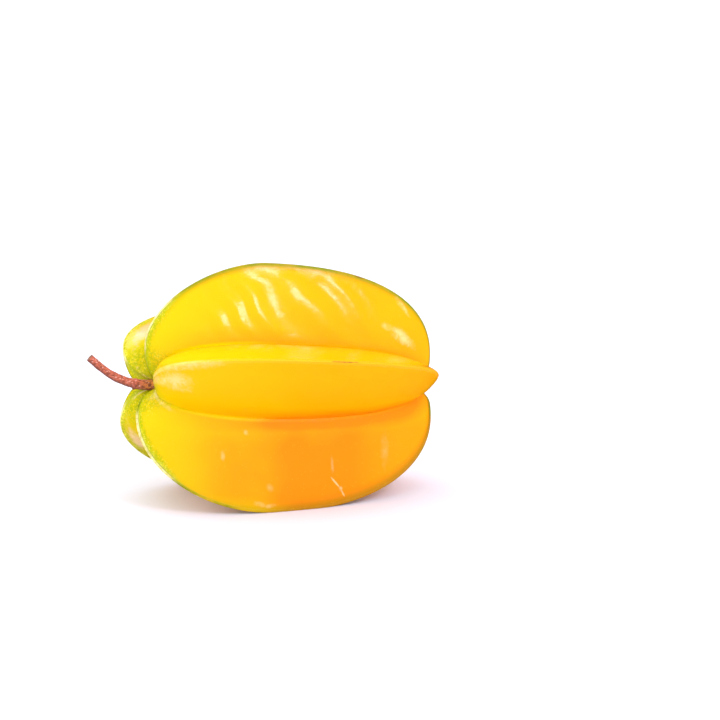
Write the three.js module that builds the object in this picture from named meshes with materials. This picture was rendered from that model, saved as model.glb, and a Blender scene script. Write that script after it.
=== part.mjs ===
// Star fruit (carambola), whole, with its woody stalk, lying on a flat surface.
// The fruit has five fin-like ribs that meet at its axis. At the stalk end the ribs end in round
// shoulders about a narrow pit, and at the blossom end they close over a shallow dimple.
// Units are millimetres and degrees. +Z is up, X runs along the fruit with the stalk towards -X,
// and the fruit rests on two of its ribs, which are pressed flat where they touch the surface.
import * as THREE from "three";

// ---- Driving dimensions of the fruit ---------------------------------------------------------

const FRUIT_LENGTH = 96.8; // shoulders to the far ends of the ribs
const FRUIT_REACH = 43; // fruit axis to the keel of a rib, at the thickest place
const THICKEST_AT = 39.2; // distance of that place from the shoulders
const SHOULDER_REACH = 15.6; // fruit axis to the foremost point of a shoulder
const FAR_END_REACH = 7.6; // fruit axis to the rearmost point of a rib
const PIT_DEPTH = 8.3; // shoulders to the foot of the stalk pit
const DIMPLE_DEPTH = 8; // rib ends to the floor of the dimple at the blossom end

const VALLEY_REACH = 20.2; // fruit axis to the valley between two ribs, at the thickest place
const VALLEY_SETBACK = 4.6; // how far a valley starts behind the shoulders
const VALLEY_START_REACH = 7.4;
const VALLEY_END_SETBACK = 6; // how far it ends before the ends of the ribs
const VALLEY_END_REACH = 4.6;

// Roundness of the outlines: 2 is an ellipse, and more is squarer.
const STALK_END_ROUNDNESS = 1.96;
const FAR_END_ROUNDNESS = 2.26;
const VALLEY_ROUNDNESS = 2.2;

// How each flank swells between its keel and its valley.
const FLANK_FULLNESS = 0.28;
const SHOULDER_BLUNTNESS = 0.84;

// The blunt keel along each rib, with the thin raised cord on it, and the rounded valley.
const EDGE_SLOPE = 1.36;
const KEEL_ROUNDING = 1;
const CORD_HEIGHT = 0.35;
const CORD_WIDTH = 0.9;
const VALLEY_ROUNDING = 0.8;

// The ribs in order round the axis. angle is measured about +X from the horizontal, on the -Y side.
// The others say how each rib differs from the even form: a longer or shorter reach, a shoulder
// that is set back, a wider or narrower shoulder, and a squarer or slacker rise behind the
// shoulder and fall to the far end.
const RIBS = [
  // upright
  { angle: 87, longer: -1.4, setBack: 2.5, wider: -1.3, squarerRise: -0.23, squarerFall: 0 },
  // front
  { angle: 22.5, longer: -0.2, setBack: 3.4, wider: 3.2, squarerRise: 0.12, squarerFall: -0.22 },
  // front foot
  { angle: -55.5, longer: -0.3, setBack: -0.2, wider: -2, squarerRise: 0, squarerFall: 0 },
  // back foot
  { angle: -125.6, longer: 0.3, setBack: -2, wider: 0.8, squarerRise: 0, squarerFall: -0.1 },
  // back
  { angle: 151.8, longer: 1, setBack: -1.5, wider: -0.2, squarerRise: 0.08, squarerFall: -0.1 },
];

// How the whole fruit lies: its axis bows up at both ends, and the stalk end rides higher.
const AXIS_BOW = 2; // rise of the axis at BOW_SPAN from the thickest place
const BOW_SPAN = 50;
const STALK_END_RISE = THREE.MathUtils.degToRad(4.5);
const FOOT_FLATTENING = 0.5; // how much of the two lower keels is pressed flat

// ---- Driving dimensions of the stalk ---------------------------------------------------------

const SOCKET_DEPTH = 3; // plain hole in the foot of the pit, in which the stalk stands
const SOCKET_RADIUS = 2.25;
const STALK_GAP = 0.4;
const STALK_ROOT_RADIUS = 1.7;
const STALK_TIP_RADIUS = 1.1;
const JOINT_AT = 0.4; // share of the stalk's length at its joint
const JOINT_SWELLING = 0.25;
const JOINT_LENGTH = 0.05; // share of the stalk's length
// Centre line beyond the socket: distance before the foot of the pit, and rise above the axis.
const STALK_LINE = [
  [3.5, -0.4],
  [7.6, -0.3],
  [10.2, 0.1],
  [12.7, 0.8],
  [15.3, 1.8],
  [17.6, 3.1],
  [19.8, 4.6],
  [22.6, 6.6],
];

// ---- How finely the surfaces are divided -----------------------------------------------------

const PIT_STEPS = 6;
const STALK_END_STEPS = 14;
const FAR_END_STEPS = 17;
const DIMPLE_STEPS = 6;
const FLANK_SHARES = [0, 0.02, 0.05, 0.1, 0.2, 0.33, 0.48, 0.64, 0.8, 0.92, 1]; // keel to valley
const STALK_SIDES = 14;
const STALK_STEPS = 44;

const RIGHT_ANGLE = Math.PI / 2;
const clamp01 = (value) => THREE.MathUtils.clamp(value, 0, 1);
const mix = (a, b, share) => a + (b - a) * share;

// ---- Fruit -----------------------------------------------------------------------------------

// A quarter of a superellipse, as [share along, share across] pairs: from (0, 0), leaving
// crosswise, to (1, 1), arriving lengthwise.
function quarter(steps, roundness) {
  return Array.from({ length: steps }, (_, i) => {
    const turn = (RIGHT_ANGLE * (i + 1)) / steps;
    const power = 2 / roundness;
    return [1 - Math.abs(Math.cos(turn)) ** power, Math.sin(turn) ** power];
  });
}

// The outline of a keel or a valley in a plane through the axis, as [distance behind the
// shoulders, reach from the axis] pairs: pit, shoulder, thickest place, far end, dimple.
function outline({ start, startReach, reach, end, endReach, stalkRoundness, farRoundness }) {
  const points = [[PIT_DEPTH, SOCKET_RADIUS]];
  for (const [across, along] of quarter(PIT_STEPS, 2))
    points.push([mix(PIT_DEPTH, start, along), mix(SOCKET_RADIUS, startReach, across)]);
  for (const [along, across] of quarter(STALK_END_STEPS, stalkRoundness))
    points.push([mix(start, THICKEST_AT, along), mix(startReach, reach, across)]);
  for (const [across, along] of quarter(FAR_END_STEPS, farRoundness))
    points.push([mix(THICKEST_AT, end, along), mix(reach, endReach, across)]);
  for (const [along, across] of quarter(DIMPLE_STEPS, 2))
    points.push([mix(end, FRUIT_LENGTH - DIMPLE_DEPTH, along), mix(endReach, 0, across)]);
  return points;
}

function keelOutline(rib) {
  return outline({
    start: rib.setBack,
    startReach: SHOULDER_REACH + rib.wider,
    reach: FRUIT_REACH + rib.longer,
    end: FRUIT_LENGTH,
    endReach: FAR_END_REACH,
    stalkRoundness: STALK_END_ROUNDNESS + rib.squarerRise,
    farRoundness: FAR_END_ROUNDNESS + rib.squarerFall,
  });
}

function valleyOutline(rib, next) {
  return outline({
    start: VALLEY_SETBACK + (rib.setBack + next.setBack) / 2,
    startReach: VALLEY_START_REACH,
    reach: VALLEY_REACH + (rib.longer + next.longer) / 4,
    end: FRUIT_LENGTH - VALLEY_END_SETBACK,
    endReach: VALLEY_END_REACH,
    stalkRoundness: VALLEY_ROUNDNESS,
    farRoundness: VALLEY_ROUNDNESS,
  });
}

// How much a sharp edge is worn away at a distance from it, for a rounding of this size.
const wornAway = (distance, rounding) => Math.hypot(distance, rounding) - Math.abs(distance);

// A point of a flank, as [distance behind the shoulders, out along the rib, across the rib].
// share runs from 0 on the keel to 1 in the valley, and halfAngle is between the two.
function flankPoint(keel, valley, halfAngle, share) {
  const valleyOut = valley[1] * Math.cos(halfAngle);
  const valleyAcross = valley[1] * Math.sin(halfAngle);
  const swellOut = mix(valleyOut, keel[1], FLANK_FULLNESS);
  const swellAlong = mix(valley[0], keel[0], SHOULDER_BLUNTNESS);
  const near = (1 - share) ** 2;
  const middle = 2 * share * (1 - share);
  const far = share ** 2;
  const along = near * keel[0] + middle * swellAlong + far * valley[0];
  let out = near * keel[1] + middle * swellOut + far * valleyOut;
  let across = (middle + far) * valleyAcross;

  const edge = clamp01((keel[1] - 3) / 8);
  out -= edge * EDGE_SLOPE * wornAway(across, KEEL_ROUNDING);
  out += edge * CORD_HEIGHT * Math.exp(-((across / CORD_WIDTH) ** 2));
  const toValley = out * Math.sin(halfAngle) - across * Math.cos(halfAngle);
  const filled = edge * EDGE_SLOPE * wornAway(toValley, VALLEY_ROUNDING);
  out += filled * Math.cos(halfAngle);
  across += filled * Math.sin(halfAngle);
  return [along, out, across];
}

// Takes a point of the straight, level fruit to where it lies on the surface.
// Its origin is on the axis, at the thickest place.
function lie(along, forward, up) {
  const behind = along - THICKEST_AT;
  const risen = up + AXIS_BOW * (behind / BOW_SPAN) ** 2;
  return new THREE.Vector3(behind, -forward, risen).applyAxisAngle(
    new THREE.Vector3(0, 1, 0),
    STALK_END_RISE,
  );
}

// The columns of the fruit's grid, each a keel-to-valley line of every outline step.
function fruitColumns() {
  const columns = [];
  RIBS.forEach((rib, i) => {
    const keel = keelOutline(rib);
    const heading = THREE.MathUtils.degToRad(rib.angle);
    for (const side of [1, -1]) {
      const next = RIBS[(i - side + RIBS.length) % RIBS.length];
      const turn = THREE.MathUtils.degToRad((((next.angle - rib.angle) * side + 360) % 360) / 2);
      const valley = valleyOutline(rib, next);
      const shares = side > 0 ? FLANK_SHARES.slice(0, -1).reverse() : FLANK_SHARES.slice(1);
      for (const share of shares)
        columns.push(
          keel.map((point, step) => {
            const [along, out, across] = flankPoint(point, valley[step], turn, share);
            const forward = out * Math.cos(heading) - side * across * Math.sin(heading);
            const up = out * Math.sin(heading) + side * across * Math.cos(heading);
            return lie(along, forward, up);
          }),
        );
    }
  });
  return columns;
}

function fruitGeometry() {
  const columns = fruitColumns();
  const floor = Math.min(...columns.flat().map((p) => p.z)) + FOOT_FLATTENING;
  for (const point of columns.flat()) point.z = Math.max(point.z, floor);
  const socketFloor = PIT_DEPTH + SOCKET_DEPTH;
  return closedSkin(columns, lie(socketFloor, 0, 0), socketRim(socketFloor));
}

// Offset that carries the pit's rim down to the floor of the socket.
function socketRim(socketFloor) {
  return lie(socketFloor, 0, 0).sub(lie(PIT_DEPTH, 0, 0));
}

// Joins columns of points, each running from the stalk end to the far end, into a closed skin.
// The first ring is carried on by socketOffset and closed at socketCentre.
function closedSkin(columns, socketCentre, socketOffset) {
  const rings = columns.length;
  const steps = columns[0].length;
  const points = [];
  for (const column of columns) {
    points.push(column[0].clone().add(socketOffset));
    points.push(...column.slice(0, -1));
  }
  const height = steps; // socket ring and every step but the shared last point
  const start = points.push(socketCentre) - 1;
  const end = points.push(columns[0][steps - 1]) - 1;
  const faces = [];
  for (let ring = 0; ring < rings; ring++) {
    const here = ring * height;
    const there = ((ring + 1) % rings) * height;
    faces.push(start, there, here);
    for (let step = 0; step < height - 1; step++) {
      faces.push(here + step, there + step, here + step + 1);
      faces.push(there + step, there + step + 1, here + step + 1);
    }
    faces.push(here + height - 1, there + height - 1, end);
  }
  return indexedGeometry(points, faces);
}

function indexedGeometry(points, faces) {
  const geometry = new THREE.BufferGeometry().setFromPoints(points);
  geometry.setIndex(faces);
  geometry.computeVertexNormals();
  return geometry;
}

// ---- Stalk -----------------------------------------------------------------------------------

function stalkCurve() {
  const rootAt = PIT_DEPTH + SOCKET_DEPTH - STALK_GAP;
  const line = [lie(rootAt, 0, 0), lie(PIT_DEPTH, 0, 0)];
  for (const [before, rise] of STALK_LINE) line.push(lie(PIT_DEPTH - before, 0, rise));
  return new THREE.CatmullRomCurve3(line, false, "centripetal");
}

// Slender from root to tip, with a swollen joint where a picked fruit's stalk parts.
function stalkRadius(share) {
  const joint = Math.exp(-(((share - JOINT_AT) / JOINT_LENGTH) ** 2));
  return mix(STALK_ROOT_RADIUS, STALK_TIP_RADIUS, share ** 0.8) + JOINT_SWELLING * joint;
}

function stalkGeometry() {
  const curve = stalkCurve();
  const frames = curve.computeFrenetFrames(STALK_STEPS, false);
  const points = [];
  for (let step = 0; step <= STALK_STEPS; step++) {
    const centre = curve.getPointAt(step / STALK_STEPS);
    const radius = stalkRadius(step / STALK_STEPS);
    for (let side = 0; side < STALK_SIDES; side++) {
      const turn = (2 * Math.PI * side) / STALK_SIDES;
      const spoke = frames.normals[step].clone().multiplyScalar(Math.cos(turn) * radius);
      spoke.addScaledVector(frames.binormals[step], Math.sin(turn) * radius);
      points.push(centre.clone().add(spoke));
    }
  }
  const root = points.push(curve.getPointAt(0)) - 1;
  const tip = points.push(curve.getPointAt(1)) - 1;
  const faces = [];
  const last = STALK_STEPS * STALK_SIDES;
  for (let side = 0; side < STALK_SIDES; side++) {
    const next = (side + 1) % STALK_SIDES;
    faces.push(root, next, side);
    for (let step = 0; step < STALK_STEPS; step++) {
      const here = step * STALK_SIDES;
      const there = here + STALK_SIDES;
      faces.push(here + side, here + next, there + side);
      faces.push(there + side, here + next, there + next);
    }
    faces.push(tip, last + side, last + next);
  }
  return indexedGeometry(points, faces);
}

// ---- The whole object ------------------------------------------------------------------------

function namedMesh(name, geometry, colour, roughness) {
  const material = new THREE.MeshStandardMaterial({ color: colour, roughness, metalness: 0 });
  const mesh = new THREE.Mesh(geometry, material);
  mesh.name = name;
  return mesh;
}

const starFruit = new THREE.Group();
starFruit.add(namedMesh("fruit", fruitGeometry(), 0xf5c400, 0.35));
starFruit.add(namedMesh("stem", stalkGeometry(), 0x8a3f2b, 0.8));

// The origin is below the middle of the whole object, on the surface that it lies on.
const box = new THREE.Box3().setFromObject(starFruit);
const middle = box.getCenter(new THREE.Vector3());
starFruit.position.set(-middle.x, -middle.y, -box.min.z);

export default starFruit;
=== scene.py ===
"""A star fruit with its woody stalk: ribbed waxy skin, keels, blemishes and bark."""

import bpy
import numpy as np
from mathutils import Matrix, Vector


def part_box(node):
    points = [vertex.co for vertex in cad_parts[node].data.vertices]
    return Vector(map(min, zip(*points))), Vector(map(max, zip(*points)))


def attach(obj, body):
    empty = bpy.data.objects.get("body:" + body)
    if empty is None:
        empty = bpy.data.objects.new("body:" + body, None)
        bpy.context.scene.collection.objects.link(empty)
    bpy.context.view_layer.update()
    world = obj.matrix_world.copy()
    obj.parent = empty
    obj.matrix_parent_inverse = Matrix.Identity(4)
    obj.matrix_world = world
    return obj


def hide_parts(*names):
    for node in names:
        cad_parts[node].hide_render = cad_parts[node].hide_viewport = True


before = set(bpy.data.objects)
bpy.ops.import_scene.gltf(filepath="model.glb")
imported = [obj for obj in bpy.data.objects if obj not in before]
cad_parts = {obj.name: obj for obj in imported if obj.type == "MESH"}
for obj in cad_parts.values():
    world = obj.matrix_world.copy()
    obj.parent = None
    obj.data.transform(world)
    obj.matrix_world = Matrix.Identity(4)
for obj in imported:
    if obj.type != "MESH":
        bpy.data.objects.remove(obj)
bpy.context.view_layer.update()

MM = 0.001

# ---- Sizes of the fruit, in millimetres and degrees, as in the part's source ----------------

FRUIT_LENGTH = 96.8
FRUIT_REACH = 43.0
THICKEST_AT = 39.2
SHOULDER_REACH = 15.6
FAR_END_REACH = 7.6
PIT_DEPTH = 8.3
PIT_FLOOR_REACH = 1.2
DIMPLE_DEPTH = 8.0
VALLEY_REACH = 20.2
VALLEY_SETBACK = 4.6
VALLEY_START_REACH = 7.4
VALLEY_END_SETBACK = 6.0
VALLEY_END_REACH = 4.6
RISE_ROUNDNESS = 1.96
FALL_ROUNDNESS = 2.26
VALLEY_ROUNDNESS = 2.2
FLANK_FULLNESS = 0.28
SHOULDER_BLUNTNESS = 0.84
EDGE_SLOPE = 1.36
EDGE_STARTS_AT_REACH, EDGE_GROWS_OVER = 3, 8
KEEL_ROUNDING = 1.0
CORD_HEIGHT = 0.35
CORD_WIDTH = 0.9
AXIS_BOW = 2.0
BOW_SPAN = 50.0
STALK_END_RISE = np.radians(4.5)
FOOT_FLATTENING = 0.5

# angle, longer, set back, wider, squarer rise, squarer fall, and how green the rib still is
RIBS = [
    (87.0, -1.4, 2.5, -1.3, -0.23, 0.0, 0.5),  # upright
    (22.5, -0.2, 3.4, 3.2, 0.12, -0.22, 0.25),  # front
    (-55.5, -0.3, -0.2, -2.0, 0.0, 0.0, 0.5),  # front foot
    (-125.6, 0.3, -2.0, 0.8, 0.0, -0.1, 1.0),  # back foot
    (151.8, 1.0, -1.5, -0.2, 0.08, -0.1, 1.0),  # back
]

# Flanks are numbered round the fruit, two to a rib: these two face the front
UPRIGHT_FRONT_FLANK = 1
FOOT_FRONT_FLANK = 4

# The skin ripples in slanting folds: where they pass, in millimetres, and how many turns of the
# wave have gone by there, so that the folds come closer together towards the stalk end
FOLD_PLACES = [-40, 7.5, 13.6, 20.2, 26.2, 30.6, 35, 39.5, 44, 48.5, 53, 58, 66, 120]
FOLD_TURNS = [-9, -1, 0, 1, 2, 2.5, 2.75, 3, 3.25, 3.5, 3.75, 4.1, 5, 12]
FOLD_LEAN = 0.5
FAR_FOLD_LEAN = 1.6 * FOLD_LEAN
# How steep the folds are on each flank
FOLD_SLOPES = [0.14, 0.19, 0.03, 0.05, 0.04, 0.06, 0.08, 0.12, 0.1, 0.14]

# How far the skin lies inside the plain ribbed form, and how uneven it is
EDGE_INSET = 0.1
FLANK_INSET = 0.35
UNEVENNESS = 0.06
FOOT_FLANK_TURN = 0.45

# How finely the skin is divided
PIT_STEPS, RISE_STEPS, FALL_STEPS, DIMPLE_STEPS = 12, 66, 90, 14
NEAR_KEEL_SHARES = [0, 0.008, 0.017, 0.027, 0.04, 0.056, 0.076, 0.1, 0.13, 0.16]
NEAR_VALLEY_SHARES = [0.93, 0.95, 0.965, 0.977, 0.987, 0.994, 1]
FLANK_SHARES = np.concatenate([NEAR_KEEL_SHARES, np.linspace(0.19, 0.9, 22), NEAR_VALLEY_SHARES])

# What the skin's material reads at every point, all but the last in millimetres
SKIN_FACTS = ("behind", "from_keel", "from_valley", "from_axis", "unripe")

# The skin's flat map: millimetres along the fruit to 1 of u, and flanks round it to 1 of v
MAP_LENGTH = 100.0
MAP_FLANKS = 10.0
FLANK_WIDTH = 26.0
MAP_ENDS = [0.08, 0.88]

# ---- Sizes of the stalk ----------------------------------------------------------------------

STALK_ROOT_RADIUS = 1.7
STALK_TIP_RADIUS = 1.1
JOINT_AT = 0.4
BURR_HEIGHT = 0.3
CUT_BEVEL = 0.2
CUT_CROWN = 0.35
# distance before the foot of the pit, and rise above the axis
STALK_LINE = [
    (-2.6, 0),
    (0, 0),
    (3.5, -0.4),
    (7.6, -0.3),
    (10.2, 0.1),
    (12.7, 0.8),
    (15.3, 1.8),
    (17.6, 3.1),
    (19.8, 4.6),
    (22.6, 6.6),
]
STALK_STEPS, STALK_SIDES = 150, 40


def mix(a, b, share):
    return a + (b - a) * share


def soft_step(value, start, end):
    share = np.clip((value - start) / (end - start), 0, 1)
    return share * share * (3 - 2 * share)


def swell(value, middle, width):
    """A soft bump, one high in its middle."""
    return np.exp(-(((value - middle) / width) ** 2))


# ---- Shape of the fruit ----------------------------------------------------------------------


def quarter(steps, roundness):
    """A quarter of a superellipse, leaving crosswise and arriving lengthwise."""
    turn = np.linspace(0, np.pi / 2, steps + 1)[1:]
    return 1 - np.abs(np.cos(turn)) ** (2 / roundness), np.sin(turn) ** (2 / roundness)


def outline(start, start_reach, reach, end, end_reach, rise_roundness, fall_roundness):
    """Distances behind the shoulders and reaches from the axis, from the pit's floor over the
    shoulder, the top and the far end to the bottom of the dimple."""
    behind, out = [np.array([PIT_DEPTH])], [np.array([PIT_FLOOR_REACH])]
    across, along = quarter(PIT_STEPS, 2)
    behind.append(mix(PIT_DEPTH, start, along))
    out.append(mix(PIT_FLOOR_REACH, start_reach, across))
    along, across = quarter(RISE_STEPS, rise_roundness)
    behind.append(mix(start, THICKEST_AT, along))
    out.append(mix(start_reach, reach, across))
    across, along = quarter(FALL_STEPS, fall_roundness)
    behind.append(mix(THICKEST_AT, end, along))
    out.append(mix(reach, end_reach, across))
    along, across = quarter(DIMPLE_STEPS, 2)
    behind.append(mix(end, FRUIT_LENGTH - DIMPLE_DEPTH, along))
    out.append(mix(end_reach, 0, across))
    return np.concatenate(behind), np.concatenate(out)


def keel_outline(rib):
    _, longer, set_back, wider, squarer_rise, squarer_fall, _ = rib
    return outline(
        set_back,
        SHOULDER_REACH + wider,
        FRUIT_REACH + longer,
        FRUIT_LENGTH,
        FAR_END_REACH,
        RISE_ROUNDNESS + squarer_rise,
        FALL_ROUNDNESS + squarer_fall,
    )


def valley_outline(rib, next_rib):
    return outline(
        VALLEY_SETBACK + (rib[2] + next_rib[2]) / 2,
        VALLEY_START_REACH,
        VALLEY_REACH + (rib[1] + next_rib[1]) / 4,
        FRUIT_LENGTH - VALLEY_END_SETBACK,
        VALLEY_END_REACH,
        VALLEY_ROUNDNESS,
        VALLEY_ROUNDNESS,
    )


def worn_away(distance, rounding):
    return np.hypot(distance, rounding) - np.abs(distance)


def flank_line(keel, valley, half_angle, share):
    """A line along a flank, this share of the way from keel to valley: how far behind the
    shoulders it is, out along the rib, and across it. The keel is rounded, with a cord on it."""
    valley_out, valley_across = valley[1] * np.cos(half_angle), valley[1] * np.sin(half_angle)
    swell_out = mix(valley_out, keel[1], FLANK_FULLNESS)
    swell_behind = mix(valley[0], keel[0], SHOULDER_BLUNTNESS)
    near, middle, far = (1 - share) ** 2, 2 * share * (1 - share), share**2
    behind = near * keel[0] + middle * swell_behind + far * valley[0]
    out = near * keel[1] + middle * swell_out + far * valley_out
    across = (middle + far) * valley_across
    edge = np.clip((keel[1] - EDGE_STARTS_AT_REACH) / EDGE_GROWS_OVER, 0, 1)
    out = out - edge * EDGE_SLOPE * worn_away(across, KEEL_ROUNDING)
    out = out + edge * CORD_HEIGHT * swell(across, 0, CORD_WIDTH)
    return behind, out, across


def lie(behind_shoulders, forward, up):
    """Takes the straight, level fruit to how it lies, about its axis at the thickest place."""
    behind = behind_shoulders - THICKEST_AT
    risen = up + AXIS_BOW * (behind / BOW_SPAN) ** 2
    cos, sin = np.cos(STALK_END_RISE), np.sin(STALK_END_RISE)
    return np.stack([behind * cos + risen * sin, -forward, risen * cos - behind * sin], -1)


def fold_heights():
    """Places across the folds, and how high the skin stands there for a slope of one."""
    places = np.linspace(FOLD_PLACES[0], FOLD_PLACES[-1], 3201)
    turns = np.interp(places, FOLD_PLACES, FOLD_TURNS)
    blur = np.exp(-(np.linspace(-2, 2, 41) ** 2))
    turns = np.convolve(np.pad(turns, 20, "edge"), blur / blur.sum(), "valid")
    return places, np.cumsum(np.cos(2 * np.pi * turns)) * (places[1] - places[0])


def ripples(behind, keel_gap, flank):
    """Height of the folds on the flanks, in millimetres for a slope of one."""
    lean = mix(FOLD_LEAN, FAR_FOLD_LEAN, soft_step(behind, 42, 62))
    across_folds = behind - lean * keel_gap + 0.5 * np.sin(keel_gap / 2.4 + behind / 5)
    shift = 2.6 * np.sin(flank * 2.4) + 0.8 * np.sin(keel_gap / 3 + flank)
    across_folds = across_folds + np.where(flank == UPRIGHT_FRONT_FLANK, 0, shift)
    return np.interp(across_folds, *fold_heights())


def flank_lines(rib, next_rib, side):
    """All the lines along one flank, keel to valley, and what is known at their points."""
    keel, valley = keel_outline(rib), valley_outline(rib, next_rib)
    heading = np.radians(rib[0])
    half_angle = np.radians(((next_rib[0] - rib[0]) * side % 360) / 2)
    lines = np.array([flank_line(keel, valley, half_angle, share) for share in FLANK_SHARES])
    behind, out, across = np.moveaxis(lines, 1, 0)
    gaps = np.sqrt((np.diff(lines, axis=0) ** 2).sum(1))
    from_keel = np.concatenate([np.zeros((1, gaps.shape[1])), np.cumsum(gaps, 0)])
    shares = np.broadcast_to(FLANK_SHARES[:, None], behind.shape)
    forward = out * np.cos(heading) - side * across * np.sin(heading)
    up = out * np.sin(heading) + side * across * np.cos(heading)
    return lie(behind, forward, up), {
        "behind": behind,
        "from_keel": from_keel,
        "from_valley": from_keel[-1] - from_keel,
        "from_axis": np.hypot(out, across),
        "unripe": mix(rib[6], (rib[6] + next_rib[6]) / 2, shares),
        "share": shares,
    }


def skin_grid():
    """Points of the skin, keel to valley and back round all the ribs, and what is known there."""
    columns, known = [], []
    for i, rib in enumerate(RIBS):
        for side in (1, -1):
            points, facts = flank_lines(rib, RIBS[(i - side) % len(RIBS)], side)
            facts["round"] = 2 * i - side * facts.pop("share")
            facts["flank"] = np.full_like(facts["round"], 2 * i + (side < 0))
            # The keel comes once, in the first flank, and each valley once, in the second
            pick = slice(-2, None, -1) if side > 0 else slice(1, None)
            columns.append(points[pick])
            known.append({name: values[pick] for name, values in facts.items()})
    together = {name: np.concatenate([facts[name] for facts in known]) for name in known[0]}
    return np.concatenate(columns), together


def surface_normals(points):
    """Outward normals of a grid that closes on itself round the fruit."""
    ahead = np.roll(points, -1, 0) - np.roll(points, 1, 0)
    along = np.gradient(points, axis=1)
    normals = np.cross(ahead, along)
    return normals / np.maximum(np.linalg.norm(normals, axis=-1, keepdims=True), 1e-9)


def dented(points, known):
    """The skin with its folds and broad unevenness, all of it inwards. The keels and the bottoms
    of the valleys stay where they are, and the front flank of the foot turns down a little."""
    keel_gap, valley_gap, behind = known["from_keel"], known["from_valley"], known["behind"]
    open_flank = soft_step(keel_gap, 0, 7) * soft_step(valley_gap, 0, 7)
    open_flank *= soft_step(behind, 12, 22) * soft_step(behind, 84, 56)
    slope = np.choose(known["flank"].astype(int), FOLD_SLOPES)
    depth = FLANK_INSET - slope * open_flank * ripples(behind, keel_gap, known["flank"])
    x, y, z = np.moveaxis(points, -1, 0)
    broad = np.sin(x / 8.3 + z / 11) * np.sin(y / 9.7 - x / 15) + np.sin(z / 7.1 + 2 + y / 13)
    off_edges = soft_step(keel_gap, 0, 6) * soft_step(valley_gap, 0, 4)
    depth = mix(EDGE_INSET, depth + UNEVENNESS * broad, off_edges)
    turn = FOOT_FLANK_TURN * (1 - np.exp(-valley_gap / 2.5)) * soft_step(valley_gap, 26, 8)
    depth += np.where(known["flank"] == FOOT_FRONT_FLANK, turn, 0)
    return points - surface_normals(points) * depth[..., None]


def grid_mesh(name, points, first, last):
    """A closed mesh of columns from the stalk end to the far end, with a point at each end."""
    columns, steps, _ = points.shape
    here = (np.arange(columns) * steps)[:, None] + np.arange(steps - 1)
    there = (np.roll(np.arange(columns), -1) * steps)[:, None] + np.arange(steps - 1)
    quads = np.stack([here, there, there + 1, here + 1], -1).reshape(-1, 4).tolist()
    start, end = columns * steps, columns * steps + 1
    caps = [(start, t, h) for h, t in zip(here[:, 0].tolist(), there[:, 0].tolist())]
    caps += [(h + 1, t + 1, end) for h, t in zip(here[:, -1].tolist(), there[:, -1].tolist())]
    mesh = bpy.data.meshes.new(name)
    mesh.from_pydata(np.vstack([points.reshape(-1, 3), first, last]).tolist(), [], quads + caps)
    mesh.shade_smooth()
    return mesh


def crease(mesh, known):
    """Keeps the bottoms of the valleys sharp, where two flanks meet."""
    deepest = np.append(known["from_valley"][:, :-1].ravel() < 1e-6, [False, False])
    ends = np.zeros(2 * len(mesh.edges), np.int32)
    mesh.edges.foreach_get("vertices", ends)
    sharp = deepest[ends].reshape(-1, 2).all(1)
    mesh.attributes.new("sharp_edge", "BOOLEAN", "EDGE").data.foreach_set("value", sharp)


def note(mesh, name, values, first, last):
    """Keeps a value at every point of a grid mesh, for its material to read."""
    layer = mesh.attributes.new(name, "FLOAT", "POINT")
    layer.data.foreach_set("value", np.append(values.ravel(), [first, last]).astype(np.float32))


def lay_out_skin(mesh, known):
    """A flat map of the skin: u runs along the fruit, and v goes round it, 0.2 for each rib."""
    steps = known["behind"].shape[1] - 1
    count = len(mesh.vertices) - 2
    around = np.append(known["round"][:, :-1].ravel() / MAP_FLANKS, [0, 0])
    behind = np.append(known["behind"][:, :-1].ravel() / MAP_LENGTH, MAP_ENDS)
    corners = np.zeros(len(mesh.loops), np.int32)
    mesh.loops.foreach_get("vertex_index", corners)
    u, v = behind[corners], around[corners]
    # The faces that close the ring carry on past 1, where their far corners would start again
    last_column = (corners < count) & (corners >= count - steps)
    starts = np.zeros(len(mesh.polygons), np.int32)
    totals = np.zeros(len(mesh.polygons), np.int32)
    mesh.polygons.foreach_get("loop_start", starts)
    mesh.polygons.foreach_get("loop_total", totals)
    face = np.repeat(np.arange(len(starts)), totals)
    closing = np.zeros(len(starts), bool)
    np.logical_or.at(closing, face, last_column)
    v = np.where(closing[face] & (v < 0.3), v + 1, v)
    layer = mesh.uv_layers.new(name="skin map")
    layer.data.foreach_set("uv", np.stack([u, v], -1).astype(np.float32).ravel())


def add_skin():
    """The whole skin, placed where the CAD fruit lies, and the step from its own axis to there."""
    points, known = skin_grid()
    floor = points[..., 2].min() + FOOT_FLATTENING
    low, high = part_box("fruit")
    middle = (points.min((0, 1)) + points.max((0, 1))) / 2
    x, y = (low.x + high.x) / 2 / MM, (low.y + high.y) / 2 / MM
    step = np.array([x - middle[0], y - middle[1], -floor])
    points = dented(points, known) + step
    points[..., 2] = np.maximum(points[..., 2], 0)
    body, tip = points[:, :-1], points[:, -1].mean(0)
    foot = body[:, 0].mean(0)
    mesh = grid_mesh("skin", body * MM, foot * MM, tip * MM)
    crease(mesh, known)
    for name in SKIN_FACTS:
        values = known[name][:, :-1]
        note(mesh, name, values, values[:, 0].mean(), known[name][:, -1].mean())
    lay_out_skin(mesh, known)
    skin = bpy.data.objects.new("skin", mesh)
    bpy.context.scene.collection.objects.link(skin)
    return skin, step


# ---- Shape of the stalk ----------------------------------------------------------------------


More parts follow.
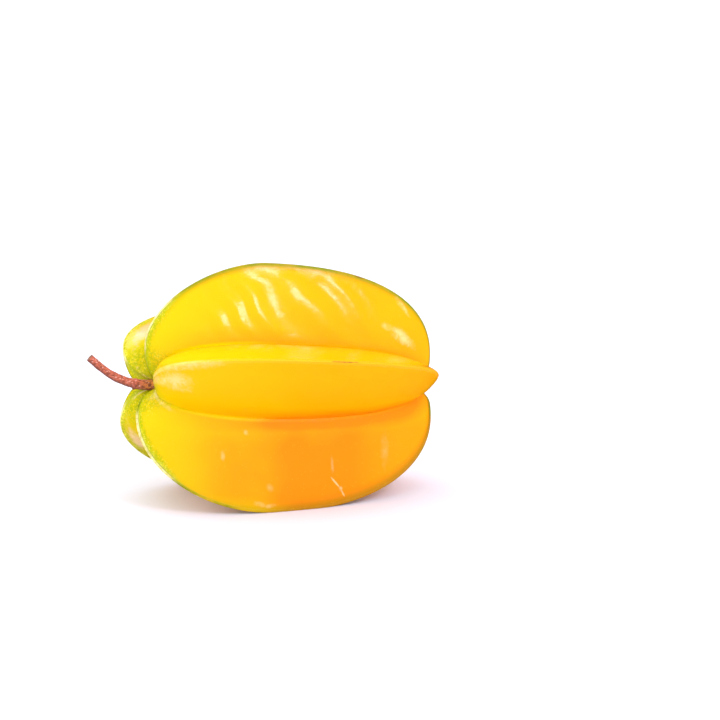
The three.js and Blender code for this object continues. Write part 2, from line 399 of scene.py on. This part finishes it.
def smooth_line(points, count):
    """Evenly spaced points on a curve through the given ones."""
    points = np.array(points, float)
    knots = np.append(0, np.cumsum(np.linalg.norm(np.diff(points, axis=0), axis=1)))
    slopes = np.gradient(points, knots, axis=0)
    at = np.linspace(0, knots[-1], count)
    i = np.clip(np.searchsorted(knots, at, "right") - 1, 0, len(knots) - 2)
    span = (knots[i + 1] - knots[i])[:, None]
    t = (at - knots[i])[:, None] / span
    return (
        (1 + 2 * t) * (1 - t) ** 2 * points[i]
        + t * (1 - t) ** 2 * span * slopes[i]
        + t * t * (3 - 2 * t) * points[i + 1]
        + t * t * (t - 1) * span * slopes[i + 1]
    )


def bark_reach(share, turn):
    """How far the bark stands from the stalk's middle line, this share of the way to its tip."""
    reach = mix(STALK_ROOT_RADIUS, STALK_TIP_RADIUS, share**0.8)
    # The length before the joint is thicker, and the joint itself has a collar
    reach = reach + 0.12 * soft_step(share, JOINT_AT + 0.01, JOINT_AT - 0.02)
    reach = reach + 0.14 * swell(share, JOINT_AT - 0.02, 0.02)
    # The cut end spreads, and the length before it is uneven
    reach = reach + 0.1 * soft_step(share, 0.93, 1.0)
    reach = reach + 0.05 * np.sin(share * 23) * soft_step(share, 0.4, 0.6)
    # Ridges run along the bark, and a burr hangs under the joint
    reach = reach + 0.05 * np.sin(turn * 7 + 3 * share) + 0.035 * np.sin(turn * 12 - 5 * share)
    reach = reach + 0.05 * np.sin(turn * 3 + 17 * share) * np.sin(31 * share)
    under = np.exp((np.cos(turn) - 1) / 0.3)
    return reach + BURR_HEIGHT * swell(share, JOINT_AT - 0.01, 0.018) * under


def add_stalk(step):
    """The curved stalk: a thicker length to its joint, ridged bark, and a blunt cut end."""
    line = [lie(PIT_DEPTH - before, 0.0, rise) + step for before, rise in STALK_LINE]
    centres = smooth_line(line, STALK_STEPS)
    share = np.linspace(0, 1, STALK_STEPS)
    ahead = np.gradient(centres, axis=0)
    ahead /= np.linalg.norm(ahead, axis=1, keepdims=True)
    down = np.cross(ahead, [0, 1, 0])
    turn = np.linspace(0, 2 * np.pi, STALK_SIDES, endpoint=False)[:, None]
    downward, sideways = np.cos(turn), np.sin(turn)
    heading = downward[..., None] * down + sideways[..., None] * [0, 1, 0]
    points = centres + bark_reach(share, turn)[..., None] * heading
    points[:, -1] -= ahead[-1] * CUT_BEVEL
    tip = centres[-1] - ahead[-1] * CUT_CROWN
    mesh = grid_mesh("stalk bark", points[::-1] * MM, centres[0] * MM, tip * MM)
    grid = (STALK_SIDES, STALK_STEPS)
    note(mesh, "share", np.broadcast_to(share, grid), 0.0, 1.0)
    note(mesh, "shade_underneath", np.broadcast_to(downward, grid)[::-1], 0.0, 0.0)
    stalk = bpy.data.objects.new("stalk", mesh)
    bpy.context.scene.collection.objects.link(stalk)
    return stalk


# ---- Short ways to lay out a shader ----------------------------------------------------------


def place(tree, kind, inputs=None, **settings):
    """Adds a node, sets it up, and links or sets each of the inputs given."""
    node = tree.nodes.new(kind)
    for name, value in settings.items():
        setattr(node, name, value)
    for name, value in (inputs or {}).items():
        if isinstance(value, bpy.types.NodeSocket):
            tree.links.new(value, node.inputs[name])
        else:
            node.inputs[name].default_value = value
    return node


def sums(tree, operation, first, second=0.0, clamped=False):
    inputs = {0: first, 1: second}
    return place(tree, "ShaderNodeMath", inputs, operation=operation, use_clamp=clamped).outputs[0]


def times(tree, *values):
    product = values[0]
    for value in values[1:]:
        product = sums(tree, "MULTIPLY", product, value)
    return product


def strongest(tree, *masks):
    most = masks[0]
    for mask in masks[1:]:
        most = sums(tree, "MAXIMUM", most, mask)
    return most


def fade(tree, value, start, end, low=0.0, high=1.0):
    """Goes softly from low at start to high at end."""
    ends = {"Value": value, "From Min": start, "From Max": end, "To Min": low, "To Max": high}
    return place(tree, "ShaderNodeMapRange", ends, interpolation_type="SMOOTHSTEP").outputs[0]


def tint(tree, share, under, over):
    """One colour with this share of another over it."""
    return place(tree, "ShaderNodeMix", {0: share, 6: under, 7: over}, data_type="RGBA").outputs[2]


def cloud(tree, where, size, detail=2.0, roughness=0.5, warp=0.0):
    """Noise from 0 to 1 with features of this size, in the units of where."""
    inputs = {"Vector": where, "Scale": 1 / size, "Detail": detail}
    inputs |= {"Roughness": roughness, "Distortion": warp}
    return place(tree, "ShaderNodeTexNoise", inputs).outputs[0]


def bumped(tree, height, strength, distance, under=None):
    """A normal bumped by this height, over another bump where one is given."""
    inputs = {"Height": height, "Strength": strength, "Distance": distance}
    if under is not None:
        inputs["Normal"] = under
    return place(tree, "ShaderNodeBump", inputs).outputs[0]


def attribute(tree, name):
    return place(tree, "ShaderNodeAttribute", attribute_name=name).outputs["Fac"]


def colour(red, green, blue):
    return (red, green, blue, 1.0)


def millimetres(tree):
    """Places on the object in millimetres."""
    where = place(tree, "ShaderNodeTexCoord").outputs["Object"]
    inputs = {0: where, "Scale": 1 / MM}
    return place(tree, "ShaderNodeVectorMath", inputs, operation="SCALE").outputs[0]


def new_material(name):
    material = bpy.data.materials.new(name)
    material.use_nodes = True
    shader = material.node_tree.nodes["Principled BSDF"]
    return material, material.node_tree, shader


def new_group(name, inputs, outputs):
    """A shader node group with named inputs, as (name, kind, value), and named outputs."""
    group = bpy.data.node_groups.new(name, "ShaderNodeTree")
    for label, kind, value in inputs:
        socket = group.interface.new_socket(label, in_out="INPUT", socket_type=kind)
        if value is not None:
            socket.default_value = value
    for label, kind in outputs:
        group.interface.new_socket(label, in_out="OUTPUT", socket_type=kind)
    return group, group.nodes.new("NodeGroupInput"), group.nodes.new("NodeGroupOutput")


def in_group(tree, group, **inputs):
    return place(tree, "ShaderNodeGroup", inputs, node_tree=group).outputs[0]


def specks_group():
    """Scattered specks of a given size; amount is the share of the cells that hold one."""
    group, given, result = new_group(
        "Specks",
        [
            ("Place", "NodeSocketVector", None),
            ("Size", "NodeSocketFloat", 1.0),
            ("Amount", "NodeSocketFloat", 0.3),
        ],
        [("Mask", "NodeSocketFloat")],
    )
    where = given.outputs["Place"]
    scale = sums(group, "DIVIDE", 1.0, given.outputs["Size"])
    inputs = {"Vector": where, "Scale": scale}
    warp = place(group, "ShaderNodeTexNoise", {**inputs, "Detail": 1.0}).outputs[0]
    cells = place(group, "ShaderNodeTexVoronoi", inputs)
    pick = place(group, "ShaderNodeSeparateColor", {0: cells.outputs["Color"]}).outputs[0]
    chosen = sums(group, "LESS_THAN", pick, given.outputs["Amount"])
    near = sums(group, "SUBTRACT", cells.outputs["Distance"], times(group, warp, 0.3))
    group.links.new(times(group, fade(group, near, 0.3, 0.08), chosen), result.inputs["Mask"])
    return group


def scar_group():
    """One long mark on the skin map, with ragged edges; sizes are in millimetres."""
    group, given, result = new_group(
        "Scar",
        [
            ("Map", "NodeSocketVector", None),
            ("Ragged", "NodeSocketFloat", 0.5),
            ("Behind", "NodeSocketFloat", 40.0),
            ("Round", "NodeSocketFloat", 2.0),
            ("Length", "NodeSocketFloat", 8.0),
            ("Width", "NodeSocketFloat", 1.0),
            ("Lean", "NodeSocketFloat", 0.0),
            ("Softness", "NodeSocketFloat", 0.0),
        ],
        [("Mask", "NodeSocketFloat")],
    )
    here = given.outputs
    parts = place(group, "ShaderNodeSeparateXYZ", {0: here["Map"]})
    along = sums(group, "SUBTRACT", times(group, parts.outputs[0], MAP_LENGTH), here["Behind"])
    across = sums(group, "SUBTRACT", times(group, parts.outputs[1], MAP_FLANKS), here["Round"])
    across = times(group, across, FLANK_WIDTH)
    cos, sin = sums(group, "COSINE", here["Lean"]), sums(group, "SINE", here["Lean"])
    lengthwise = sums(group, "ADD", times(group, along, cos), times(group, across, sin))
    crosswise = sums(group, "SUBTRACT", times(group, across, cos), times(group, along, sin))
    far = sums(group, "DIVIDE", lengthwise, sums(group, "DIVIDE", here["Length"], 2.0))
    wide = sums(group, "DIVIDE", crosswise, sums(group, "DIVIDE", here["Width"], 2.0))
    squares = sums(group, "ADD", times(group, far, far), times(group, wide, wide))
    ragged = times(group, sums(group, "SUBTRACT", here["Ragged"], 0.5), 1.4)
    gap = sums(group, "ADD", sums(group, "SQRT", squares), ragged)
    start = sums(group, "ADD", here["Softness"], 1.15)
    end = sums(group, "SUBTRACT", 0.5, here["Softness"])
    group.links.new(fade(group, gap, start, end), result.inputs["Mask"])
    return group


# ---- Finishes --------------------------------------------------------------------------------

FRESH_YELLOW = colour(0.93, 0.5, 0.0)
DEEP_GOLD = colour(0.93, 0.25, 0.0)
# The paler yellow of the valley bottoms is painted light
VALLEY_LIGHT_YELLOW = colour(1.0, 0.68, 0.0)
YELLOW_GREEN = colour(0.62, 0.54, 0.0)
# Olive and umber of the keel the fruit rests on, darkened as painted shade
SHADED_FOOT_OLIVE = colour(0.56, 0.39, 0.0)
SHADED_FOOT_UMBER = colour(0.42, 0.2, 0.003)
CREST_OLIVE = colour(0.34, 0.29, 0.0)
KEEL_LIME = colour(0.4, 0.46, 0.0)
KEEL_GREEN = colour(0.22, 0.26, 0.003)
STIPPLE_GREEN = colour(0.36, 0.4, 0.0)
PALE_LIME = colour(0.92, 0.82, 0.12)
HAIR_GREEN = colour(0.2, 0.25, 0.04)
CREAM = colour(0.98, 0.78, 0.4)
REFLECTION_CREAM = colour(0.85, 0.55, 0.3)
PALE_PORE = colour(0.97, 0.62, 0.06)
SCAR_BROWN = colour(0.25, 0.08, 0.012)
RUST_BARK = colour(0.55, 0.13, 0.07)
ORANGE_BARK = colour(0.82, 0.28, 0.02)
DARK_BARK = colour(0.2, 0.05, 0.025)
PALE_BARK = colour(0.78, 0.4, 0.32)
CUT_WOOD = colour(0.3, 0.14, 0.08)
TABLE_WHITES = colour(0.74, 0.77, 0.87), colour(0.75, 0.78, 0.88)

# Marks on the skin: behind the shoulders, round the ribs, length, width, lean, strength
SCRATCHES = [
    (60.8, 3.8, 4.5, 0.45, 0.7, 0.5),  # long scratch on the front foot
    (63.4, 3.9, 2.4, 0.5, 0.9, 0.4),
    (46.0, 9.5, 9.0, 0.7, 0.9, 0.6),  # scratches round the back
    (30.0, 7.4, 7.0, 0.6, -0.5, 0.6),
    (66.0, 6.4, 10.0, 0.8, 0.3, 0.5),
]
# Pale rubs, and pale patches that are painted highlights and painted reflections
RUBS_HIGHLIGHTS_AND_REFLECTIONS = [
    (8.0, 2.03, 20.0, 3.4, 0.0, 0.42),  # painted highlight along the keel of the front rib
    (7.5, 2.28, 10.0, 6.5, 0.5, 0.5),  # painted highlight on its shoulder
    (6.6, 3.06, 6.0, 2.6, 0.5, 0.4),  # painted highlight in the valley under it
    (84.5, 0.56, 8.0, 5.0, 0.3, 0.6),  # painted reflections by the far end of the upright rib
    (79.0, 0.49, 4.0, 2.4, 0.0, 0.4),
    (84.8, 0.12, 5.0, 2.2, 0.6, 0.5),
    (77.5, 3.6, 9.0, 2.4, 1.5, 0.15),  # painted highlight where the front foot turns towards the far end
    # painted highlights on the front foot
    (31.5, 3.25, 2.0, 1.4, 1.2, 0.35),
    (24.4, 3.56, 2.6, 1.3, 1.5, 0.3),
    # small rubs on the front foot
    (39.5, 3.8, 2.4, 1.2, 0.3, 0.4),
    (36.6, 3.93, 3.0, 0.9, 0.1, 0.25),
    (39.8, 3.94, 3.0, 0.8, -0.1, 0.25),
    (62.6, 3.86, 1.2, 0.9, 0.5, 0.5),
    (59.5, 3.64, 4.0, 0.9, 1.4, 0.2),
    (50.0, 7.4, 14.0, 7.0, 0.5, 0.35),  # rubs on the back ribs
    # painted reflection on the shoulder of the back foot
    (4.2, 5.72, 8.0, 7.5, 0.6, 0.5),
]
# Painted reflections on the shoulders of the back rib and the back foot
PAINTED_REFLECTION_MARKS = [(6.4, 8.4, 10.0, 12.0, 0.25, 0.8), (4.2, 5.72, 7.0, 7.0, 0.6, 0.8)]
BROWN_MARKS = [
    (56.5, 2.0, 9.0, 0.55, 0.0, 0.85),  # nick along the keel of the front rib
    (48.0, 8.0, 12.0, 0.8, 0.0, 0.8),  # nicks on the other keels and flanks
    (33.0, 6.0, 7.0, 0.7, 0.0, 0.7),
    (70.0, 0.02, 5.0, 0.6, 0.0, 0.6),
    (58.0, 7.5, 2.0, 1.4, 0.8, 0.6),
    (40.0, 5.4, 1.6, 1.2, 0.0, 0.6),
]
AMBER_MARKS = [(59.6, 3.66, 9.0, 2.4, 1.5, 0.5), (52.0, 6.6, 9.0, 3.0, 1.2, 0.4)]


class SkinPlaces:
    """What the skin's material knows of each place; heights and distances are in millimetres."""

    def __init__(self, tree):
        self.where = millimetres(tree)
        self.height = place(tree, "ShaderNodeSeparateXYZ", {0: self.where}).outputs[2]
        self.map = place(tree, "ShaderNodeUVMap", uv_map="skin map").outputs[0]
        for name in SKIN_FACTS:
            setattr(self, name, attribute(tree, name))
        self.fine = cloud(tree, self.where, 1.4, 3.0, 0.6)
        self.broad = cloud(tree, self.where, 26.0)
        self.patchy = fade(tree, self.broad, 0.3, 0.6, 0.75, 1.05)
        self.stalk_half = fade(tree, self.behind, 50.0, 30.0)
        self.shoulder = fade(tree, self.behind, 13.0, 6.0)
        self.green_keel = fade(tree, self.unripe, 0.3, 0.5)
        self.back_rib = fade(tree, self.unripe, 0.55, 0.9)

    def by_rib(self, tree, front, back):
        """One value on the front ribs and another on the back ones."""
        return fade(tree, self.back_rib, 0.0, 1.0, front, back)


def marks(tree, skin, scar, listed, softness=0.0):
    """A mask of all the marks in a list."""
    masks = []
    for behind, round_it, length, width, lean, strength in listed:
        at = {"Behind": behind, "Round": round_it, "Length": length, "Width": width, "Lean": lean}
        mask = in_group(tree, scar, Map=skin.map, Ragged=skin.fine, Softness=softness, **at)
        masks.append(times(tree, mask, strength))
    return strongest(tree, *masks)


def ripe_flesh(tree, skin):
    """Yellow, deepening to gold towards the far end, with painted shade low on the fruit and in
    the valleys, and painted light, a paler yellow, along the valley bottoms.
    """
    onward = fade(tree, skin.behind, 2.0, 48.0, 0.28, 1.0)
    # Painted shade: the skin turns to gold low on the fruit, where less light falls
    low = fade(tree, skin.height, 35.0, 20.0)
    low = times(tree, low, fade(tree, skin.behind, 60.0, 84.0, 1.0, 0.7), onward)
    # Painted shade in the valleys, wider and stronger low on the fruit
    valley_shade_reach = fade(tree, skin.height, 40.0, 30.0, 9.0, 15.0)
    valley_shade = times(tree, fade(tree, skin.from_valley, valley_shade_reach, 0.0, 0.0, 0.5), onward)
    valley_shade = times(tree, valley_shade, fade(tree, skin.height, 33.0, 26.0, 1.0, 2.1))
    # The painted shade, together with a deepening towards the far end
    gold_and_painted_shade = strongest(tree, low, valley_shade, fade(tree, skin.behind, 8.0, 72.0, 0.0, 0.36))
    # More painted shade in the low valleys, away from the stalk end
    low_valley_shade = times(
        tree,
        fade(tree, skin.behind, 20.0, 45.0),
        fade(tree, skin.height, 31.0, 27.0),
        fade(tree, skin.from_valley, 4.5, 1.0, 0.0, 0.4),
    )
    gold_and_painted_shade = sums(tree, "ADD", gold_and_painted_shade, low_valley_shade)
    gold_and_painted_shade = sums(tree, "MULTIPLY", gold_and_painted_shade, skin.patchy, clamped=True)
    flesh = tint(tree, gold_and_painted_shade, FRESH_YELLOW, DEEP_GOLD)
    # Painted light: a paler yellow along the valley bottoms, strongest towards the stalk end
    painted_valley_light = fade(tree, skin.from_valley, 1.4, 0.3)
    painted_valley_light = times(tree, painted_valley_light, fade(tree, skin.behind, 45.0, 25.0, 0.2, 1.0), 0.8)
    return tint(tree, painted_valley_light, flesh, VALLEY_LIGHT_YELLOW)


def stalk_end_green(tree, skin, flesh):
    """Green that is left about the stalk end, and round and in the pit."""
    tinge = times(tree, fade(tree, skin.behind, 24.0, 5.0), skin.unripe, skin.patchy)
    pit = times(tree, fade(tree, skin.from_axis, 11.0, 5.0), skin.stalk_half, 0.95)
    flesh = tint(tree, strongest(tree, tinge, pit), flesh, YELLOW_GREEN)
    rim = times(tree, fade(tree, skin.from_axis, 18.0, 13.0), skin.stalk_half, 0.45)
    return tint(tree, rim, flesh, YELLOW_GREEN)


def keel_bands(tree, skin, flesh):
    """Along the keels an olive band, and on it a green line that comes and goes. Low on the fruit
    the band is wider and darker: partly the keel's own olive, partly painted shade where the fruit
    rests.
    """
    # Painted shade: the band widens on the low keel that the fruit rests on
    foot_reach_with_shade = fade(tree, skin.behind, 18.0, 32.0, 2.4, 5.5)
    reach = fade(tree, skin.height, 20.0, 50.0, foot_reach_with_shade, 3.2)
    wider = fade(tree, skin.behind, 16.0, 5.0, 0.0, 3.0)
    wider = times(tree, wider, fade(tree, skin.unripe, 0.55, 0.9, 1.0, 0.0))
    reach = sums(tree, "ADD", reach, wider)
    # On the resting keel the olive darkens to umber towards the far end, keel colour with painted
    # shade
    foot = tint(tree, fade(tree, skin.behind, 33.0, 50.0), SHADED_FOOT_OLIVE, SHADED_FOOT_UMBER)
    olive = tint(tree, fade(tree, skin.height, 20.0, 50.0), foot, CREST_OLIVE)
    olive = tint(tree, fade(tree, skin.behind, 18.0, 6.0), olive, KEEL_LIME)
    band = fade(tree, skin.from_keel, reach, 0.8)
    band = times(tree, band, skin.green_keel, skin.by_rib(tree, 0.9, 0.6))
    flesh = tint(tree, band, flesh, olive)

    coming_and_going = cloud(tree, skin.where, 7.0)
    waning = fade(tree, coming_and_going, 0.4, 0.58, 0.2, skin.by_rib(tree, 0.95, 0.2))
    stripe = times(tree, fade(tree, skin.from_keel, 1.3, 0.6), skin.green_keel, waning)
    under = fade(tree, skin.height, 22.0, 8.0)
    under = times(tree, under, fade(tree, skin.behind, 24.0, 32.0))
    stripe = times(tree, stripe, fade(tree, under, 0.0, 1.0, 1.0, 0.15))
    return tint(tree, stripe, flesh, KEEL_GREEN)


def shoulder_keels(tree, skin, specks, flesh):
    """By the stalk end each keel has a pale band, stippling, a dark hair line, and a cream line on
    its cord that is a painted highlight.
    """
    outside_pit = times(tree, skin.shoulder, fade(tree, skin.from_axis, 8.0, 13.0))
    on_green = times(tree, outside_pit, skin.green_keel)

    pale_band = fade(tree, skin.from_keel, skin.by_rib(tree, 2.6, 4.5), 1.4)
    broken = fade(tree, skin.fine, 0.35, 0.6, 0.0, skin.by_rib(tree, 0.5, 0.8))
    flesh = tint(tree, times(tree, pale_band, broken, on_green), flesh, PALE_LIME)

    by_keel = fade(tree, skin.from_keel, 5.5, 2.5)
    by_keel = times(tree, by_keel, fade(tree, skin.from_keel, 0.8, 1.4), skin.shoulder)
    by_pit = times(tree, fade(tree, skin.from_axis, 16.0, 9.0), skin.stalk_half)
    near = strongest(tree, by_keel, by_pit)
    near = times(tree, near, fade(tree, skin.unripe, 0.25, 0.5, 0.5, 1.0))
    mottle = fade(tree, cloud(tree, skin.where, 0.75, 2.0, 0.6), 0.44, 0.56, 0.1, 0.75)
    flesh = tint(tree, times(tree, mottle, near), flesh, STIPPLE_GREEN)
    moved = place(tree, "ShaderNodeVectorMath", {0: skin.where, 1: (5.0, 3.0, 7.0)}).outputs[0]
    pale_dots = in_group(tree, specks, Place=moved, Size=0.6, Amount=0.45)
    flesh = tint(tree, times(tree, pale_dots, near, 0.4), flesh, PALE_LIME)

    hair_line = fade(tree, skin.from_keel, 0.75, 1.0)
    hair_line = times(tree, hair_line, fade(tree, skin.from_keel, 1.5, 1.15))
    broken = fade(tree, skin.fine, 0.4, 0.55, 0.1, skin.by_rib(tree, 0.8, 0.3))
    flesh = tint(tree, times(tree, hair_line, broken, on_green), flesh, HAIR_GREEN)

    # Painted highlight: a broken cream line where the cord of the keel catches the light
    broken_highlight = fade(tree, skin.fine, 0.4, 0.55, 0.4, 0.85)
    cord_highlight = times(tree, fade(tree, skin.from_keel, 1.0, 0.7), broken_highlight)
    cord_highlight = times(tree, cord_highlight, fade(tree, skin.unripe, 0.25, 0.5), outside_pit)
    return tint(tree, cord_highlight, flesh, CREAM)


def skin_material(specks, scar):
    material, tree, shader = new_material("Waxy skin")
    skin = SkinPlaces(tree)
    flesh = stalk_end_green(tree, skin, ripe_flesh(tree, skin))
    flesh = tint(tree, marks(tree, skin, scar, AMBER_MARKS), flesh, DEEP_GOLD)
    # Painted reflections on the shoulders of the back rib and the back foot
    flesh = tint(tree, marks(tree, skin, scar, PAINTED_REFLECTION_MARKS, 0.1), flesh, REFLECTION_CREAM)
    flesh = keel_bands(tree, skin, flesh)
    flesh = shoulder_keels(tree, skin, specks, flesh)

    # Pale rubs, painted highlights and painted reflections with mottled edges, scratches, pores
    # and brown marks
    mottled = fade(tree, cloud(tree, skin.where, 2.4, 3.0, 0.6), 0.38, 0.58, 0.35, 1.0)
    rubs_and_highlights = times(tree, marks(tree, skin, scar, RUBS_HIGHLIGHTS_AND_REFLECTIONS, 0.35), mottled)
    pale = strongest(tree, rubs_and_highlights, marks(tree, skin, scar, SCRATCHES))
    flesh = tint(tree, pale, flesh, CREAM)
    pores = in_group(tree, specks, Place=skin.where, Size=0.6, Amount=0.08)
    flesh = tint(tree, times(tree, pores, 0.15), flesh, PALE_PORE)
    blossom = fade(tree, skin.from_axis, 3.2, 1.2)
    blossom = times(tree, blossom, fade(tree, skin.behind, 60.0, 80.0), 0.9)
    brown = strongest(tree, marks(tree, skin, scar, BROWN_MARKS), blossom)
    flesh = tint(tree, brown, flesh, SCAR_BROWN)
    tree.links.new(flesh, shader.inputs["Base Color"])

    # Gloss, a little duller on the keels and the brown marks, over a fine grain and soft waves
    grain = bumped(tree, cloud(tree, skin.where, 0.5), 0.08, 0.1 * MM)
    waves = bumped(tree, cloud(tree, skin.where, 3.2), 0.25, 0.4 * MM, grain)
    tree.links.new(waves, shader.inputs["Normal"])
    dull = fade(tree, skin.from_keel, 2.0, 0.5, 0.0, 0.15)
    dull = strongest(tree, dull, times(tree, brown, 0.4))
    rough = sums(tree, "ADD", fade(tree, skin.fine, 0.3, 0.7, 0.17, 0.22), dull)
    tree.links.new(rough, shader.inputs["Roughness"])
    shader.inputs["Specular IOR Level"].default_value = 0.3
    shader.inputs["Subsurface Weight"].default_value = 0.15
    shader.inputs["Subsurface Radius"].default_value = (1.0, 0.5, 0.1)
    shader.inputs["Subsurface Scale"].default_value = 3 * MM
    return material


def bark_material(specks):
    """Dry reddish fibres with pale flecks, more orange at the root, and darkened underneath as
    painted shade.
    """
    material, tree, shader = new_material("Dry bark")
    where = millimetres(tree)
    share = attribute(tree, "share")
    drawn_out = {"Vector": where, "Scale": (0.35, 1.0, 0.6)}
    drawn_out = place(tree, "ShaderNodeMapping", drawn_out).outputs[0]
    fibres = cloud(tree, drawn_out, 0.35, 3.0, 0.65, 0.6)
    patches = cloud(tree, where, 1.6)
    fresh = tint(tree, fade(tree, share, 0.4, 0.1), RUST_BARK, ORANGE_BARK)
    bark = tint(tree, fade(tree, fibres, 0.38, 0.55), DARK_BARK, fresh)
    flecks = in_group(tree, specks, Place=drawn_out, Size=0.36, Amount=0.6)
    flecks = times(tree, flecks, fade(tree, patches, 0.35, 0.55, 0.2, 0.9))
    flecks = times(tree, flecks, fade(tree, share, 0.1, 0.35, 0.3, 1.0))
    bark = tint(tree, flecks, bark, PALE_BARK)
    # Painted shade: the bark darkens on its underside
    shade_underneath = fade(tree, attribute(tree, "shade_underneath"), 0.1, 0.9, 0.0, 0.75)
    bark = tint(tree, shade_underneath, bark, DARK_BARK)
    bark = tint(tree, fade(tree, share, 0.985, 1.0), bark, CUT_WOOD)
    tree.links.new(bark, shader.inputs["Base Color"])
    tree.links.new(bumped(tree, fibres, 0.7, 0.3 * MM), shader.inputs["Normal"])
    tree.links.new(fade(tree, fibres, 0.3, 0.7, 0.85, 0.6), shader.inputs["Roughness"])
    return material


def table_material():
    material, tree, shader = new_material("White table")
    grain = cloud(tree, place(tree, "ShaderNodeTexCoord").outputs["Object"], 0.6 * MM)
    shade = tint(tree, fade(tree, grain, 0.3, 0.7), *TABLE_WHITES)
    tree.links.new(shade, shader.inputs["Base Color"])
    shader.inputs["Roughness"].default_value = 0.9
    shader.inputs["Specular IOR Level"].default_value = 0.1
    return material


# ---- Camera, table and light -----------------------------------------------------------------

CAMERA_AT = (-0.14643, -0.5678, 0.15261)
CAMERA_LOOKS_DOWN, CAMERA_LOOKS_ASIDE = 10.56, 17.44
SENSOR_WIDTH, LENS_LENGTH = 36.0, 94.34
TABLE_HALF_WIDTH = 6
ROOM_BRIGHTNESS = 1.42
LAMPS_AIM_AT = Vector((0, 0, 0.035))

# azimuth from the front, towards +X, elevation, distance, width, height, power, and colour
MIRRORED_SOFTBOXES = {
    "front softbox": (22, 37, 0.9, 0.23, 0.165, 2.7, (1.0, 0.72, 0.88)),
    "back softbox": (-158, 36, 0.9, 0.5, 0.35, 1.2, (1.0, 0.8, 0.8)),
}
UNMIRRORED_SOFTBOXES = {"left window": (-95, 30, 0.9, 0.7, 0.5, 2.2, (1.0, 1.0, 1.0))}


def add_camera():
    lens = bpy.data.cameras.new("camera")
    lens.sensor_width, lens.lens, lens.clip_start = SENSOR_WIDTH, LENS_LENGTH, 0.01
    camera = bpy.data.objects.new("camera", lens)
    camera.location = CAMERA_AT
    upright, aside = np.radians(90 - CAMERA_LOOKS_DOWN), np.radians(-CAMERA_LOOKS_ASIDE)
    camera.rotation_euler = (upright, 0, aside)
    bpy.context.scene.collection.objects.link(camera)
    bpy.context.scene.camera = camera


def add_table():
    mesh = bpy.data.meshes.new("table")
    half = TABLE_HALF_WIDTH
    corners = [(-half, -half, 0), (half, -half, 0), (half, half, 0), (-half, half, 0)]
    mesh.from_pydata(corners, [], [(0, 1, 2, 3)])
    mesh.materials.append(table_material())
    table = bpy.data.objects.new("table", mesh)
    bpy.context.scene.collection.objects.link(table)
    table.visible_glossy = False


def add_softbox(name, azimuth, elevation, distance, width, height, power, shade, mirrored):
    lamp = bpy.data.lights.new(name, "AREA")
    lamp.shape, lamp.size, lamp.size_y = "RECTANGLE", width, height
    lamp.energy, lamp.color = power, shade
    a, e = np.radians(azimuth), np.radians(elevation)
    away = Vector((np.sin(a) * np.cos(e), -np.cos(a) * np.cos(e), np.sin(e)))
    holder = bpy.data.objects.new(name, lamp)
    holder.location = LAMPS_AIM_AT + away * distance
    holder.rotation_euler = away.to_track_quat("Z", "Y").to_euler()
    holder.visible_glossy = mirrored
    bpy.context.scene.collection.objects.link(holder)


def add_light():
    """A white room and a window that the wax doesn't mirror, and two softboxes that it does."""
    room = bpy.data.worlds.new("white room")
    bpy.context.scene.world = room
    room.use_nodes = True
    background = room.node_tree.nodes["Background"]
    background.inputs["Color"].default_value = colour(1.0, 1.0, 1.0)
    background.inputs["Strength"].default_value = ROOM_BRIGHTNESS
    room.cycles_visibility.glossy = False
    for name, facts in MIRRORED_SOFTBOXES.items():
        add_softbox(name, *facts, mirrored=True)
    for name, facts in UNMIRRORED_SOFTBOXES.items():
        add_softbox(name, *facts, mirrored=False)


# ---- Putting it together ---------------------------------------------------------------------


def dress(piece, material, node):
    piece.data.materials.append(material)
    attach(piece, "root")
    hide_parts(node)


scene = bpy.context.scene
scene.view_settings.view_transform = "Standard"
add_camera()
add_table()
add_light()
specks, scar = specks_group(), scar_group()
skin, step = add_skin()
dress(skin, skin_material(specks, scar), "fruit")
dress(add_stalk(step), bark_material(specks), "stem")
